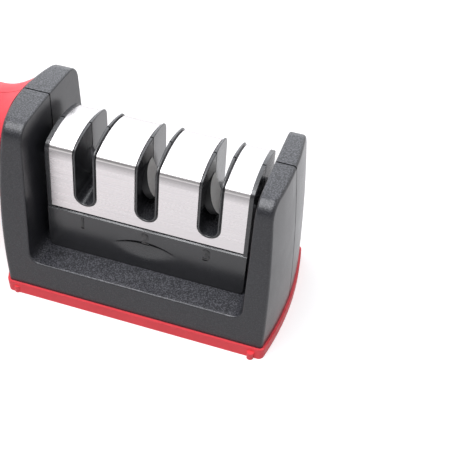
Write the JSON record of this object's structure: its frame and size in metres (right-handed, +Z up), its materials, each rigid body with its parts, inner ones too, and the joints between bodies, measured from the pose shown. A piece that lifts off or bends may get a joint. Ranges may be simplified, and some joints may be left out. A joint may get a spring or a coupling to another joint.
{
  "type": "manual knife sharpener",
  "caption": "Pull-through knife sharpener: black cradle head on a red non-slip pad, red side handle, and a lift-out module with steel cover and angled abrasive slots.",
  "frame": {"origin": "middle of the non-slip pad's underside, below the head", "axes": "+X along the head away from the handle, +Y from front to back, +Z up"},
  "size_m": [0.2169, 0.0628, 0.0728],
  "materials": {
    "housing_black": "fine moulded texture, matte",
    "handle_red": "soft-touch satin",
    "pad_red": "matte rubber",
    "plate_black": "matte",
    "module_black": "fine moulded texture, matte",
    "cover_steel": "fine brushing along the length",
    "carbide": "ground",
    "diamond_grit": "coarse grit coat",
    "ceramic_grey": "fine sintered surface",
    "spring_steel": "rolled strip",
    "screw_steel": "zinc plated"
  },
  "bodies": {
    "head": {"housing_front": "housing_black", "housing_back": "housing_black", "handle_grip_front": "handle_red", "handle_grip_back": "handle_red", "base_pad": "pad_red", "base_plate": "plate_black", "leaf_spring_left": "spring_steel", "leaf_spring_right": "spring_steel", "housing_screws": "screw_steel", "handle_screws": "screw_steel", "base_screws": "screw_steel"},
    "module": {"module_front_shell": "module_black", "module_back_shell": "module_black", "module_base": "plate_black", "steel_cover": "cover_steel", "carbide_blade_front": "carbide", "carbide_blade_back": "carbide", "diamond_plate_front": "diamond_grit", "diamond_plate_back": "diamond_grit", "ceramic_plate_front": "ceramic_grey", "ceramic_plate_back": "ceramic_grey", "module_screws": "screw_steel"}
  },
  "joints": [
    {"name": "module_lift", "type": "slide", "parent": "head", "child": "module", "axis": [0, 0, 1], "range_m": [0, 0.065]}
  ]
}
